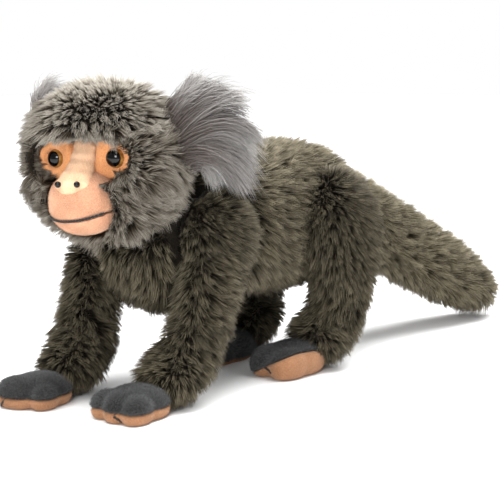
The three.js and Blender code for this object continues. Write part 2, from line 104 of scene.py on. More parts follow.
def new_mesh(name, co, tris, uv=None):
    """A triangle mesh from arrays, with one uv for each vertex."""
    me = bpy.data.meshes.new(name)
    me.vertices.add(len(co))
    me.vertices.foreach_set("co", np.ascontiguousarray(co, np.float32).ravel())
    me.loops.add(len(tris) * 3)
    me.loops.foreach_set("vertex_index", np.ascontiguousarray(tris, np.int32).ravel())
    me.polygons.add(len(tris))
    me.polygons.foreach_set("loop_start", np.arange(0, len(tris) * 3, 3, dtype=np.int32))
    if uv is not None:
        layer = me.uv_layers.new(name="OFBake")
        layer.uv.foreach_set("vector", np.ascontiguousarray(uv[tris.ravel()], np.float32).ravel())
    me.update(calc_edges=True)
    me.polygons.foreach_set("use_smooth", np.full(len(tris), True))
    return me


def arrays(me):
    """Vertices, normals and triangles of a mesh."""
    co = np.empty(len(me.vertices) * 3, np.float32)
    me.vertices.foreach_get("co", co)
    no = np.empty(len(me.vertices) * 3, np.float32)
    me.vertices.foreach_get("normal", no)
    me.calc_loop_triangles()
    tri = np.empty(len(me.loop_triangles) * 3, np.int32)
    me.loop_triangles.foreach_get("vertices", tri)
    return co.reshape(-1, 3).astype(float), no.reshape(-1, 3).astype(float), tri.reshape(-1, 3)


def cad(names):
    """The CAD nodes' triangles as one set of arrays."""
    cos, tris, base = [], [], 0
    for n in names:
        co, _, tri = arrays(NODES[n].data)
        cos.append(co)
        tris.append(tri + base)
        base += len(co)
    return np.concatenate(cos), np.concatenate(tris)


def surface(co, tri):
    """A search tree over triangles."""
    return BVHTree.FromPolygons(co.tolist(), tri.tolist())


def tree(names):
    return surface(*cad(names))


def applied(ob):
    """ob with its modifiers applied."""
    graph = bpy.context.evaluated_depsgraph_get()
    me = bpy.data.meshes.new_from_object(ob.evaluated_get(graph))
    ob.modifiers.clear()
    old, ob.data = ob.data, me
    bpy.data.meshes.remove(old)
    return ob


def edges_of(me):
    e = np.empty(len(me.edges) * 2, np.int32)
    me.edges.foreach_get("vertices", e)
    return e.reshape(-1, 2)


def relax(co, edges, share, times):
    """Laplacian smoothing."""
    count = np.bincount(edges.ravel(), minlength=len(co))[:, None]
    for _ in range(times):
        total = np.zeros_like(co)
        np.add.at(total, edges[:, 0], co[edges[:, 1]])
        np.add.at(total, edges[:, 1], co[edges[:, 0]])
        co = co + share * (total / np.maximum(count, 1) - co)
    return co


def set_co(me, co):
    me.vertices.foreach_set("co", np.ascontiguousarray(co, np.float32).ravel())
    me.update()


def keep_outer(ob):
    """Only the component with the largest box is kept, so no inner wall is left."""
    co, _, tri = arrays(ob.data)
    edges = edges_of(ob.data)
    label = np.arange(len(co))
    while True:
        low = np.minimum(label[edges[:, 0]], label[edges[:, 1]])
        new = label.copy()
        np.minimum.at(new, edges[:, 0], low)
        np.minimum.at(new, edges[:, 1], low)
        new = new[new]
        if (new == label).all():
            break
        label = new
    parts = [np.flatnonzero(label == k) for k in np.unique(label)]
    if len(parts) < 2:
        return ob
    best = max(parts, key=lambda p: np.ptp(co[p], axis=0).sum())
    keep = np.zeros(len(co), bool)
    keep[best] = True
    tri = tri[keep[tri[:, 0]]]
    number = np.cumsum(keep) - 1
    old, ob.data = ob.data, new_mesh(ob.name, co[keep], number[tri])
    bpy.data.meshes.remove(old)
    return ob


def stuffed(name, source, voxel, inset, cap, subdivide=1, share=None):
    """A padded piece from CAD nodes or from arrays, remeshed as one skin.

    It is drawn in by inset, then blown up by cloth pressure, which moves no point further than cap.
    share(points) scales how far each point is drawn in.
    """
    co, tri = cad(source) if isinstance(source, list) else source
    ob = link(name, new_mesh(name, co, tri))
    m = ob.modifiers.new("remesh", "REMESH")
    m.mode = "VOXEL"
    m.voxel_size = voxel
    keep_outer(applied(ob))
    edges = edges_of(ob.data)
    steps = max(1, round(inset / voxel * 2))
    for _ in range(steps):
        co, no, _ = arrays(ob.data)
        deep = inset / steps * (1 if share is None else share(co)[:, None])
        set_co(ob.data, relax(co - no * deep, edges, 0.4, 1))
    start, _, _ = arrays(ob.data)
    cloth = ob.modifiers.new("cloth", "CLOTH")
    cloth.settings.use_pressure = True
    cloth.settings.uniform_pressure_force = PRESSURE
    cloth.settings.effector_weights.gravity = 0
    cloth.settings.tension_stiffness = STIFFNESS
    cloth.settings.compression_stiffness = STIFFNESS
    scene = bpy.context.scene
    for f in range(1, CLOTH_FRAMES + 1):
        scene.frame_set(f)
    applied(ob)
    scene.frame_set(1)
    co, _, _ = arrays(ob.data)
    move = co - start
    size = np.linalg.norm(move, axis=1, keepdims=True)
    move *= np.minimum(1, cap / np.maximum(size, 1e-9))
    set_co(ob.data, relax(start + move, edges, 0.3, 1))
    if subdivide:
        ob.modifiers.new("subdivision", "SUBSURF").levels = subdivide
        applied(ob)
    ob.data.polygons.foreach_set("use_smooth", np.full(len(ob.data.polygons), True))
    return ob


# ---------------------------------------------------------------- materials


def linear(rgb):
    """An sRGB colour of 0 to 255 as linear values."""
    c = np.array(rgb, float) / 255
    return tuple(np.where(c <= 0.04045, c / 12.92, ((c + 0.055) / 1.055) ** 2.4)) + (1.0,)


WHITE = (255, 255, 255)


def shader(name, roughness, specular, sheen=0.0, sheen_colour=WHITE, coat=0.0):
    """A material with its node tree and its surface node."""
    mat = bpy.data.materials.new(name)
    mat.use_nodes = True
    nt = mat.node_tree
    b = nt.nodes["Principled BSDF"]
    b.inputs["Roughness"].default_value = roughness
    b.inputs["Specular IOR Level"].default_value = specular
    b.inputs["Sheen Weight"].default_value = sheen
    b.inputs["Sheen Tint"].default_value = linear(sheen_colour)
    b.inputs["Sheen Roughness"].default_value = 0.5
    b.inputs["Coat Weight"].default_value = coat
    b.inputs["Coat Roughness"].default_value = 0.03
    return mat, nt, b


def node(nt, kind, links=(), **values):
    """A shader node; links are (socket name or index, output socket)."""
    n = nt.nodes.new(kind)
    for k, v in values.items():
        if k.startswith("in_"):
            n.inputs[k[3:].replace("_", " ")].default_value = v
        else:
            setattr(n, k, v)
    for socket, source in links:
        nt.links.new(source, n.inputs[socket])
    return n


def ramp(nt, fac, stops):
    """A colour ramp of (place, colour) stops."""
    r = node(nt, "ShaderNodeValToRGB", [("Fac", fac)])
    e = r.color_ramp.elements
    while len(e) < len(stops):
        e.new(0.5)
    for k, (at, rgb) in enumerate(stops):
        e[k].position = at
        e[k].color = linear(rgb)
    return r.outputs["Color"]


def mixed(nt, fac, a, b, kind="MIX"):
    """Colour a towards colour b by fac, which may be a socket or a value."""
    m = nt.nodes.new("ShaderNodeMix")
    m.data_type = "RGBA"
    m.blend_type = kind
    for socket, v in ((m.inputs[0], fac), (m.inputs[6], a), (m.inputs[7], b)):
        if hasattr(v, "links"):
            nt.links.new(v, socket)
        else:
            socket.default_value = v
    return m.outputs[2]


def pile(name, dark, light, roughness=0.6, specular=0.25):
    """Hair: its shade runs across the map from dark to light, and its length runs up it from root to tip."""
    mat, nt, b = shader(name, roughness, specular)
    uv = node(nt, "ShaderNodeUVMap", uv_map="OFBake")
    xyz = node(nt, "ShaderNodeSeparateXYZ", [("Vector", uv.outputs["UV"])])
    a = ramp(nt, xyz.outputs["Y"], dark)
    c = ramp(nt, xyz.outputs["Y"], light)
    nt.links.new(mixed(nt, xyz.outputs["X"], a, c), b.inputs["Base Color"])
    return mat


def grain(nt, scale, detail):
    """Noise over the surface."""
    where = node(nt, "ShaderNodeTexCoord").outputs["Object"]
    noise = node(nt, "ShaderNodeTexNoise", [("Vector", where)], in_Scale=scale, in_Detail=detail)
    return noise.outputs["Fac"]


def fabric(name, low, high, fine, coarse, bump, sheen_colour=WHITE, roughness=0.9, specular=0.15, sheen=0.5):
    """A short-pile cloth: nap at the fine scale, mottling at the coarse one."""
    mat, nt, b = shader(name, roughness, specular, sheen, sheen_colour)
    nap, blotch = grain(nt, fine, 4), grain(nt, coarse, 2)
    base = ramp(nt, nap, [(0.3, low), (0.7, high)])
    shade = ramp(nt, blotch, [(0.3, (226, 222, 218)), (0.7, (255, 255, 255))])
    nt.links.new(mixed(nt, 1.0, base, shade, "MULTIPLY"), b.inputs["Base Color"])
    bumped = node(nt, "ShaderNodeBump", [("Height", nap)], in_Strength=bump, in_Distance=0.0006)
    nt.links.new(bumped.outputs["Normal"], b.inputs["Normal"])
    return mat


def gloss(name, low, high, scale, roughness, coat=0.0, specular=0.5):
    """Moulded plastic with a little cloudiness in its colour."""
    mat, nt, b = shader(name, roughness, specular, coat=coat)
    nt.links.new(ramp(nt, grain(nt, scale, 2), [(0.35, low), (0.65, high)]), b.inputs["Base Color"])
    return mat


UNDERCOAT = fabric("undercoat", (20, 16, 11), (46, 38, 27), 900, 60, 0.6, sheen=0.1)
BODY_PILE = pile(
    "body_pile",
    [(0.0, (16, 12, 8)), (0.45, (32, 28, 19)), (0.8, (57, 51, 38)), (1.0, (77, 70, 54))],
    [(0.0, (27, 22, 14)), (0.35, (62, 55, 41)), (0.7, (128, 118, 95)), (1.0, (184, 174, 148))],
)
HEAD_PILE = pile(
    "head_pile",
    [(0.0, (28, 21, 14)), (0.4, (54, 44, 33)), (0.8, (100, 91, 78)), (1.0, (126, 118, 106))],
    [(0.0, (48, 37, 27)), (0.35, (108, 97, 82)), (0.7, (188, 181, 168)), (1.0, (228, 223, 213))],
)
TAIL_PILE = pile(
    "tail_pile",
    [(0.0, (19, 15, 9)), (0.45, (38, 33, 22)), (0.8, (68, 61, 46)), (1.0, (90, 82, 63))],
    [(0.0, (30, 25, 16)), (0.35, (70, 63, 46)), (0.7, (138, 128, 103)), (1.0, (190, 180, 153))],
)
EAR_HAIR = pile(
    "ear_hair",
    [(0.0, (50, 38, 31)), (0.3, (88, 78, 72)), (0.75, (112, 107, 105)), (1.0, (124, 120, 118))],
    [(0.0, (88, 77, 70)), (0.3, (138, 133, 130)), (0.75, (184, 181, 178)), (1.0, (212, 210, 208))],
    roughness=0.42,
    specular=0.4,
)
PAW_NAP = pile(
    "paw_nap",
    [(0.0, (26, 26, 26)), (1.0, (52, 52, 51))],
    [(0.0, (50, 50, 50)), (1.0, (132, 133, 134))],
    roughness=0.7,
)
PALM_NAP = pile(
    "palm_nap",
    [(0.0, (130, 90, 64)), (1.0, (172, 128, 96))],
    [(0.0, (152, 110, 80)), (1.0, (206, 164, 130))],
    roughness=0.75,
)
FACE_NAP = pile(
    "face_nap",
    [(0.0, (186, 134, 104)), (1.0, (212, 162, 130))],
    [(0.0, (204, 154, 124)), (1.0, (240, 204, 174))],
    roughness=0.75,
)
NOSE_NAP = pile(
    "nose_nap",
    [(0.0, (232, 184, 148)), (1.0, (248, 210, 176))],
    [(0.0, (240, 198, 164)), (1.0, (254, 230, 202))],
    roughness=0.75,
)
PATCH_NAP = pile(
    "patch_nap",
    [(0.0, (226, 152, 98)), (1.0, (242, 176, 122))],
    [(0.0, (236, 168, 114)), (1.0, (252, 204, 152))],
    roughness=0.75,
)
PATCH_VELOUR = fabric("eye_patch_velour", (222, 150, 98), (246, 184, 130), 1400, 90, 0.35, (255, 226, 196))
BRIDGE_VELOUR = fabric("bridge_velour", (236, 188, 150), (252, 216, 182), 1400, 90, 0.3, (255, 236, 212))
MUZZLE_VELOUR = fabric("muzzle_velour", (190, 136, 106), (222, 172, 140), 1400, 90, 0.35, (255, 228, 206))
PALM_VELOUR = fabric("palm_velour", (138, 96, 68), (178, 132, 98), 1400, 70, 0.4, (255, 226, 198))
PAW_VELOUR = fabric("paw_velour", (24, 24, 23), (56, 56, 55), 1300, 70, 0.5, (190, 192, 196))
THREAD = fabric(
    "black_thread", (10, 9, 8), (34, 31, 28), 2600, 300, 0.6, roughness=0.6, specular=0.35, sheen=0.2
)
AMBER = gloss("amber_plastic", (112, 66, 22), (168, 124, 62), 260, 0.12, 1.0)
BLACK = gloss("black_plastic", (3, 3, 4), (8, 8, 9), 200, 0.05, specular=0.32)
WASHER = gloss("washer_plastic", (214, 214, 210), (232, 232, 228), 160, 0.5, 0.1)


def paint(ob, mat):
    """ob with only that material, in that slot."""
    ob.data.materials.clear()
    ob.data.materials.append(mat)
    return ob


# ---------------------------------------------------------------- locks of pile


WAVES = 7


def wobble(p, size, seed):
    """Smooth random vectors of about unit size that change over that distance."""
    rng = np.random.default_rng(seed)
    wave = rng.normal(size=(WAVES, 3)) / size
    phase = rng.uniform(0, 2 * math.pi, WAVES)
    amp = rng.normal(size=(WAVES, 3))
    return np.sin(p @ wave.T + phase) @ amp / math.sqrt(WAVES / 2)


def strand_arrays(ctrl, width, shade, rings, rng):
    """Closed three-sided tapered hairs along Bezier curves. ctrl is (hairs, points, 3)."""
    n, degree = len(ctrl), ctrl.shape[1] - 1
    t = np.linspace(0, 1, rings + 1)
    terms = [math.comb(degree, k) * t**k * (1 - t) ** (degree - k) for k in range(degree + 1)]
    basis = np.stack(terms, 1)
    line = np.einsum("tk,nkc->ntc", basis, ctrl)
    along = unit(np.gradient(line, axis=1))
    side = unit(np.cross(along, unit(rng.normal(size=(n, 1, 3)))))
    up = np.cross(along, side)
    radius = width[:, None] / 2 * (1 - 0.62 * t[None] ** 1.3)
    co = np.empty((n, 3 * rings + 1, 3))
    for j, angle in enumerate((0, 2 * math.pi / 3, 4 * math.pi / 3)):
        out = side * math.cos(angle) + up * math.sin(angle)
        co[:, j : 3 * rings : 3] = (line + out * radius[..., None])[:, :rings]
    co[:, -1] = line[:, -1]
    uv = np.empty((n, 3 * rings + 1, 2))
    for j in range(3):
        uv[:, j : 3 * rings : 3, 0] = np.clip(shade, 0.03, 0.97)[:, None] + (j - 1) * 0.012
        uv[:, j : 3 * rings : 3, 1] = 0.01 + 0.98 * t[None, :rings]
    uv[:, -1, 0] = np.clip(shade, 0.03, 0.97)
    uv[:, -1, 1] = 0.99
    faces = [(0, 2, 1)]
    for k in range(rings - 1):
        for j in range(3):
            a, b = 3 * k + j, 3 * k + (j + 1) % 3
            faces += [(a, b, b + 3), (a, b + 3, a + 3)]
    last = 3 * (rings - 1)
    faces += [(last + j, last + (j + 1) % 3, 3 * rings) for j in range(3)]
    return co, uv, np.array(faces)


def hair_pieces(name, ctrl, width, shade, rings, rng, mat, place, order, limit=PIECE_LOCKS):
    """The hairs as pieces of at most limit hairs, split along order, each placed by place(piece)."""
    rank = np.argsort(order, kind="stable")
    count = -(-len(rank) // limit)
    made = []
    for k, part in enumerate(np.array_split(rank, count)):
        co, uv, faces = strand_arrays(ctrl[part], width[part], shade[part], rings, rng)
        co[..., 2] = np.maximum(co[..., 2], GROUND)
        per = co.shape[1]
        tris = (faces[None] + (np.arange(len(part)) * per)[:, None, None]).reshape(-1, 3)
        label = name if count == 1 else f"{name}_{k + 1}"
        ob = link(label, new_mesh(label, co.reshape(-1, 3), tris, uv.reshape(-1, 2)))
        paint(ob, mat)
        place(ob)
        made.append(ob)
    return made


def scatter(ob, density, rng, blockers=None, reach=13 * MM, allow=None):
    """Random points on ob with their normals, none where a blocker lies within reach over the surface."""
    co, no, tri = arrays(ob.data)
    a, b, c = co[tri[:, 0]], co[tri[:, 1]], co[tri[:, 2]]
    area = np.linalg.norm(np.cross(b - a, c - a), axis=1) / 2
    centre, normal = (a + b + c) / 3, unit(no[tri].sum(1))
    if blockers is not None:
        hits = [blockers.ray_cast(Vector(p), Vector(d), reach)[0] for p, d in zip(centre, normal)]
        area = area * np.array([hit is None for hit in hits])
    if allow is not None:
        area = area * allow(centre)
    n = int(area.sum() * density)
    pick = rng.choice(len(tri), n, p=area / area.sum())
    s, t = np.sqrt(rng.random(n))[:, None], rng.random(n)[:, None]
    w = np.concatenate([1 - s, s * (1 - t), s * t], 1)
    at = np.einsum("nk,nkc->nc", w, co[tri[pick]])
    return at, unit(np.einsum("nk,nkc->nc", w, no[tri[pick]]))


# The pile's roots go this far into the skin.
ROOT_DEPTH = 0.8 * MM
# How many points stand for a skin's hairs, and how many of them are measured.
SAMPLES = 4000
PROBES = 600


def nearest(points):
    """A search tree over points."""
    kd = KDTree(len(points))
    for k, p in enumerate(points):
        kd.insert(Vector(p), k)
    kd.balance()
    return kd


def hairs_in_lock(at, clump):
    """How many hairs one lock holds, from the hairs' own spacing."""
    n = len(at)
    some = at[:: max(1, n // SAMPLES)][:SAMPLES]
    kd = nearest(some)
    near = np.median([kd.find_n(Vector(p), 2)[1][2] for p in some[:PROBES]])
    spacing = near / 0.5 * math.sqrt(len(some) / n)
    return (clump / max(spacing, 1e-5)) ** 2


def locks(at, normal, flow, rng, clump, gather, jitter, shade=0.42):
    """Control points, widths and shades of pile that lies along flow(at, normal) and gathers into locks.

    flow gives the way the pile lies, its rise in radians, the scale of its length and the shift of its shade,
    which holds painted light and shade as well as the pile's own tone.
    clump is a lock's width, gather is how far its tips close up, and jitter is how far its lie strays.
    """
    n = len(at)
    heads = rng.choice(n, max(1, int(n / max(2.0, hairs_in_lock(at, clump)))), replace=False)
    kd = nearest(at[heads])
    owner = np.array([kd.find(Vector(p))[1] for p in at])
    m = len(heads)
    lean = rng.normal(size=(m, 3)) * jitter
    tall = np.clip(rng.normal(1.0, 0.12, m), 0.7, 1.25)
    tone = rng.normal(0, 0.13, m)
    tangent, lift, scale, painted_light_and_tone = flow(at, normal)
    tangent = unit(tangent - (tangent * normal).sum(1, keepdims=True) * normal)
    own = rng.normal(size=(n, 3)) * 0.16
    sway = wobble(at, 9 * MM, 11) * 0.28
    push = lean[owner] + own + sway
    push -= (push * normal).sum(1, keepdims=True) * normal
    tangent = unit(tangent + push)
    size = (PILE_LENGTH * scale * tall[owner] * np.clip(rng.normal(1, 0.08, n), 0.7, 1.2))[:, None]
    high, low = lift + 0.32, lift - 0.28
    first = tangent * np.cos(high)[:, None] + normal * np.sin(high)[:, None]
    second = tangent * np.cos(low)[:, None] + normal * np.sin(low)[:, None]
    p1 = at + first * size * 0.5
    p2 = p1 + second * size * 0.5
    root_mid = at[heads]
    tip = p2[heads][owner] + (at - root_mid[owner]) * 0.2
    p2 = p2 + (tip - p2) * gather
    p1 = p1 + ((p1[heads][owner] + (at - root_mid[owner]) * 0.7) - p1) * gather * 0.45
    ctrl = np.stack([at - normal * ROOT_DEPTH, p1, p2], 1)
    ctrl[..., 2] = np.maximum(ctrl[..., 2], 4 * GROUND)
    # Each hair's shade takes the flow's painted light and shade and tone, its lock's tone and its own.
    tones = shade + painted_light_and_tone + tone[owner] + rng.normal(0, 0.16, n)
    return ctrl, LOCK_WIDTH * np.clip(rng.normal(1, 0.15, n), 0.6, 1.4), tones


def rider(body):
    """What puts a piece on that body."""
    return lambda ob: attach(ob, body)


# ---------------------------------------------------------------- the skins

LIMBS = ("left", "right")
TORSO = ["body_left_panel", "body_right_panel", "belly_gusset"]
TORSO_FILL = ["body_upper_stuffing", "body_lower_stuffing", "pellet_bag"]
HEAD = ["head_left_panel", "head_right_panel", "crown_gusset"]
TAIL = ["tail_base_cover", "tail_base_stuffing", "tail_tip_cover", "tail_tip_stuffing"]
ARM = {s: [f"{s}_arm_cover", f"{s}_arm_stuffing"] for s in LIMBS}
LEG = {s: [f"{s}_leg_cover", f"{s}_leg_stuffing"] for s in LIMBS}
ALL_LIMBS = [n for s in LIMBS for n in (ARM[s][0], LEG[s][0])]

torso_skin = stuffed("torso_skin", TORSO + TORSO_FILL, 5 * MM, 3.5 * MM, 2.5 * MM)
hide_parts(*TORSO, *TORSO_FILL)
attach(paint(torso_skin, UNDERCOAT), "torso")

head_skin = stuffed("head_skin", HEAD + ["head_stuffing"], 4 * MM, 5.5 * MM, 2 * MM)
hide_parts(*HEAD, "head_stuffing")
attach(paint(head_skin, UNDERCOAT), "head")

neck_skin = stuffed("neck_skin", ["neck_stuffing"], 4 * MM, 1 * MM, 1 * MM)
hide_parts("neck_stuffing")
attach(paint(neck_skin, UNDERCOAT), "neck")

tail_skin = stuffed("tail_skin", TAIL, 4.5 * MM, 4 * MM, 2 * MM)
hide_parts(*TAIL)
paint(tail_skin, UNDERCOAT)


def limb_share(co):
    """The pile is shorter by the paws, so the skin lies closer there."""
    return 0.05 + 0.95 * step(co[:, 2], 8 * MM, 40 * MM)


arm_skin, leg_skin = {}, {}
for s in LIMBS:
    arm_skin[s] = stuffed(f"{s}_arm_skin", ARM[s], 3.5 * MM, 6 * MM, 2 * MM, share=limb_share)
    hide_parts(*ARM[s])
    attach(paint(arm_skin[s], UNDERCOAT), f"{s}_arm")
    leg_skin[s] = stuffed(f"{s}_leg_skin", LEG[s], 3.5 * MM, 2.5 * MM, 2 * MM, share=limb_share)
    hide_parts(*LEG[s])
    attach(paint(leg_skin[s], UNDERCOAT), f"{s}_leg")


# ---------------------------------------------------------------- the pile's lie


def lie(n, vector):
    return np.tile(np.array(vector, float), (n, 1))


def torso_flow(p, no):
    """Back and down from the neck to the rump, standing up a little along the spine."""
    n = len(p)
    back = step(p[:, 1], -0.13, 0.05)[:, None]
    t = lie(n, (0, 0.45, -0.9)) * (1 - back) + lie(n, (0, 0.95, -0.55)) * back
    lift = 0.95 + 0.14 * wobble(p, 0.03, 3)[:, 0]
    belly = step(-no[:, 2], 0.2, 0.9)
    # Painted light and shade: the pile is lighter where it faces up and towards the rump, and darker where it
    # faces down under the belly.
    painted_light_and_tone = 0.10 * step(no[:, 2], 0.2, 0.9) + 0.06 * step(p[:, 1], 0.0, 0.07) - 0.06 * belly
    return t, lift, 1.0 - 0.15 * belly, painted_light_and_tone


# The mask's outline from the front, as two ellipses (z, half width, half height) in millimetres of the head's
# frame.
MASK = ((2.0, 32.0, 15.0), (-23.0, 20.5, 18.5))


def to_row(q):
    """Points of the head's frame, in millimetres, in the row frame."""
    return HEAD_CENTRE + (q * MM) @ HEAD_AXES.T


def off_mask(x, z):
    """How far a point of the head's front is outside the mask, and the way out of it."""
    far, way = [], []
    for mid, wide, high in MASK:
        u, v = x / wide, (z - mid) / high
        r = np.hypot(u, v)
        far.append((r - 1) * math.sqrt(wide * high))
        way.append(unit(np.stack([u / wide, v / high], 1)))
    first = (far[0] < far[1])[:, None]
    return np.minimum(*far), np.where(first, way[0], way[1])


def head_flow(p, no):
    """Forward over the crown, down the forehead to the brow, and out from the mask over the cheeks."""
    q = (p - HEAD_CENTRE) @ HEAD_AXES
    x, y, z = (q / MM).T
    one = np.ones(len(p))
    far, way = off_mask(x, z)
    crown = np.stack([0.15 * x / 40, -one, -0.25 * one], 1)
    brow = np.stack([0.3 * x / 30, -0.15 * one, -one], 1)
    under = step(-z, 24, 40)
    cheek = np.stack([way[:, 0], 0.35 * one - 0.9 * under, way[:, 1] - 0.3 - 0.6 * under], 1)
    nape = np.stack([0 * x, 0.35 * one, -one], 1)
    upper = step(z - 0.25 * np.abs(x), 3, 14)[:, None]
    over = step(z, 32, 42)[:, None]
    behind = step(y, 2, 22)[:, None]
    local = cheek * (1 - upper) + brow * upper
    local = local * (1 - over) + crown * over
    local = local * (1 - behind) + nape * behind
    edge = (1 - step(far, 2, 12)) * step(-y, 4, 14)
    fringe = edge * upper[:, 0]
    beside = edge * (1 - upper[:, 0])
    rim = (1 - step(far, 1, 7)) * (1 - upper[:, 0]) * step(-y, 0, 8)
    high = step(z, 26, 40)
    lift = 0.84 + 0.22 * beside + 0.36 * rim - 0.3 * fringe + 0.1 * high + 0.1 * wobble(p, 0.02, 3)[:, 0]
    # Painted light and shade: the pile is lighter over the crown and darker below the brow; it is lighter at
    # the head's far sides too.
    painted_light_and_tone = 0.36 * step(z, 30, 44) + 0.12 * step(np.abs(x), 36, 47) - 0.26 * (1 - upper[:, 0]) - 0.02
    scale = 1.0 - 0.16 * beside - 0.12 * rim - 0.16 * fringe - 0.2 * high + 0.3 * under
    return local @ HEAD_AXES.T, lift, scale, painted_light_and_tone


def limb_flow(p, no):
    """Down the limb, a little back, shorter by the paw."""
    n = len(p)
    t = lie(n, (0, 0.2, -1.0)) + 0.35 * wobble(p, 0.022, 5)
    low = 1 - step(p[:, 2], 0.008, 0.040)
    lift = 0.86 + 0.12 * wobble(p, 0.025, 7)[:, 1]
    # The pile is lighter by the paw, and painted shade darkens it at the limb's top, where it meets the torso.
    painted_light_and_tone = -0.12 + 0.12 * low - 0.1 * step(p[:, 2], 0.06, 0.1)
    return t, lift, 0.92 - 0.2 * low, painted_light_and_tone


def tail_flow(p, no):
    """Along the tail to its tip."""
    t = lie(len(p), CURL_AXIS) + 0.3 * wobble(p, 0.03, 9)
    lift = 0.85 + 0.1 * wobble(p, 0.02, 4)[:, 0]
    # Painted light: the pile is lighter where it faces up.
    return t, lift, np.ones(len(p)), 0.06 * step(no[:, 2], 0, 0.9)


BODY_LOCKS = {"clump": 2.6 * MM, "gather": 0.36, "jitter": 0.28}
HEAD_LOCKS = {"clump": 2.8 * MM, "gather": 0.45, "jitter": 0.26, "shade": 0.5}
LIMB_LOCKS = {"clump": 2.4 * MM, "gather": 0.34, "jitter": 0.26}


def place_tail(ob):
    """The tail's cover keeps its place, with its transform applied to its points."""
    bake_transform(ob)


# The torso has no pile under the limbs, the head and the tail's root.
rng = np.random.default_rng(1)
torso_cover = tree(ALL_LIMBS + HEAD + ["tail_base_cover", "neck_stuffing"])
at, no = scatter(torso_skin, DENSITY * SHARE, rng, torso_cover)
ctrl, width, shade = locks(at, no, torso_flow, rng, **BODY_LOCKS)
hair_pieces("torso_pile", ctrl, width, shade, 2, rng, BODY_PILE, rider("torso"), at[:, 1])

RIM_HAIRS = 2600
# The head's rounded box, in millimetres of its own frame: half width, half depth, half height, and its power.
HEAD_BOX = (47.0, 43.0, 46.0, 2.4)


def rim_roots(n, rng):
    """Roots and normals of the pile round the mask's edge, where the skin turns in to the face."""
    turn = rng.uniform(0, 2 * math.pi, n)
    ring = np.array(MASK)[rng.integers(0, 2, n)]
    out = rng.uniform(1.02, 1.2, n)
    x = ring[:, 1] * out * np.cos(turn)
    z = ring[:, 0] + ring[:, 2] * out * np.sin(turn)
    far, way = off_mask(x, z)
    wide, deep, high, power = HEAD_BOX
    inside = 1 - np.abs(x / wide) ** power - np.abs(z / high) ** power
    front = deep * np.maximum(inside, 0.02) ** (1 / power)
    y = 9 + rng.uniform(-1.5, 1.5, n) - front
    keep = (far > 0.4) & (z < 12)
    normal = unit(np.stack([0.3 * way[:, 0], -np.ones(n), 0.3 * way[:, 1]], 1))
    return to_row(np.stack([x, y, z], 1)[keep]), normal[keep] @ HEAD_AXES.T


def off_face(centre):
    """0 inside the mask's opening, where the velour lies."""
    x, y, z = ((centre - HEAD_CENTRE) @ HEAD_AXES / MM).T
    return ~((off_mask(x, z)[0] < -1.0) & (y < 0))


rng = np.random.default_rng(2)
face_tree = tree(["muzzle", "chin", "neck_stuffing"])
at, no = scatter(head_skin, HEAD_DENSITY * SHARE, rng, face_tree, 2.5 * MM, off_face)
rim_at, rim_no = rim_roots(int(RIM_HAIRS * SHARE), rng)
at, no = np.concatenate([at, rim_at]), np.concatenate([no, rim_no])
ctrl, width, shade = locks(at, no, head_flow, rng, **HEAD_LOCKS)
hair_pieces("head_pile", ctrl, width * 0.95, shade, 2, rng, HEAD_PILE, rider("head"), at[:, 0])

rng = np.random.default_rng(3)
at, no = scatter(tail_skin, DENSITY * SHARE, rng, tree(TORSO), 10 * MM)
ctrl, width, shade = locks(at, no, tail_flow, rng, **BODY_LOCKS)
hair_pieces("tail_pile", ctrl, width, shade, 2, rng, TAIL_PILE, place_tail, at[:, 1])
place_tail(tail_skin)

for k, s in enumerate(LIMBS):
    for seed, kind, skin in ((10, "arm", arm_skin[s]), (20, "leg", leg_skin[s])):
        rng = np.random.default_rng(seed + k)
        at, no = scatter(skin, LIMB_DENSITY * SHARE, rng, tree(TORSO), 9 * MM)
        ctrl, width, shade = locks(at, no, limb_flow, rng, **LIMB_LOCKS)
        name = f"{s}_{kind}"
        hair_pieces(f"{name}_pile", ctrl, width, shade, 2, rng, BODY_PILE, rider(name), at[:, 2])


# ---------------------------------------------------------------- the ears

EAR_HAIRS = 7000
# Where the ear's hair ends, from its front over its top to its lower back: points of the head's frame, in
# millimetres, at even steps round the fan; x is out from the head.
EAR_TIPS = np.array(
    [
        (50, 16, 36),
        (52, 28, 41),
        (55, 44, 38),
        (59, 57, 29),
        (63, 67, 16),
        (66, 76, 0),
        (67, 74, -15),
        (62, 62, -26),
        (52, 42, -29),
    ],
    float,
)
# The hair bends back where it would stand further out than this from the toy's middle.
EAR_LIMIT = 68 * MM
EAR_EASE = 9 * MM


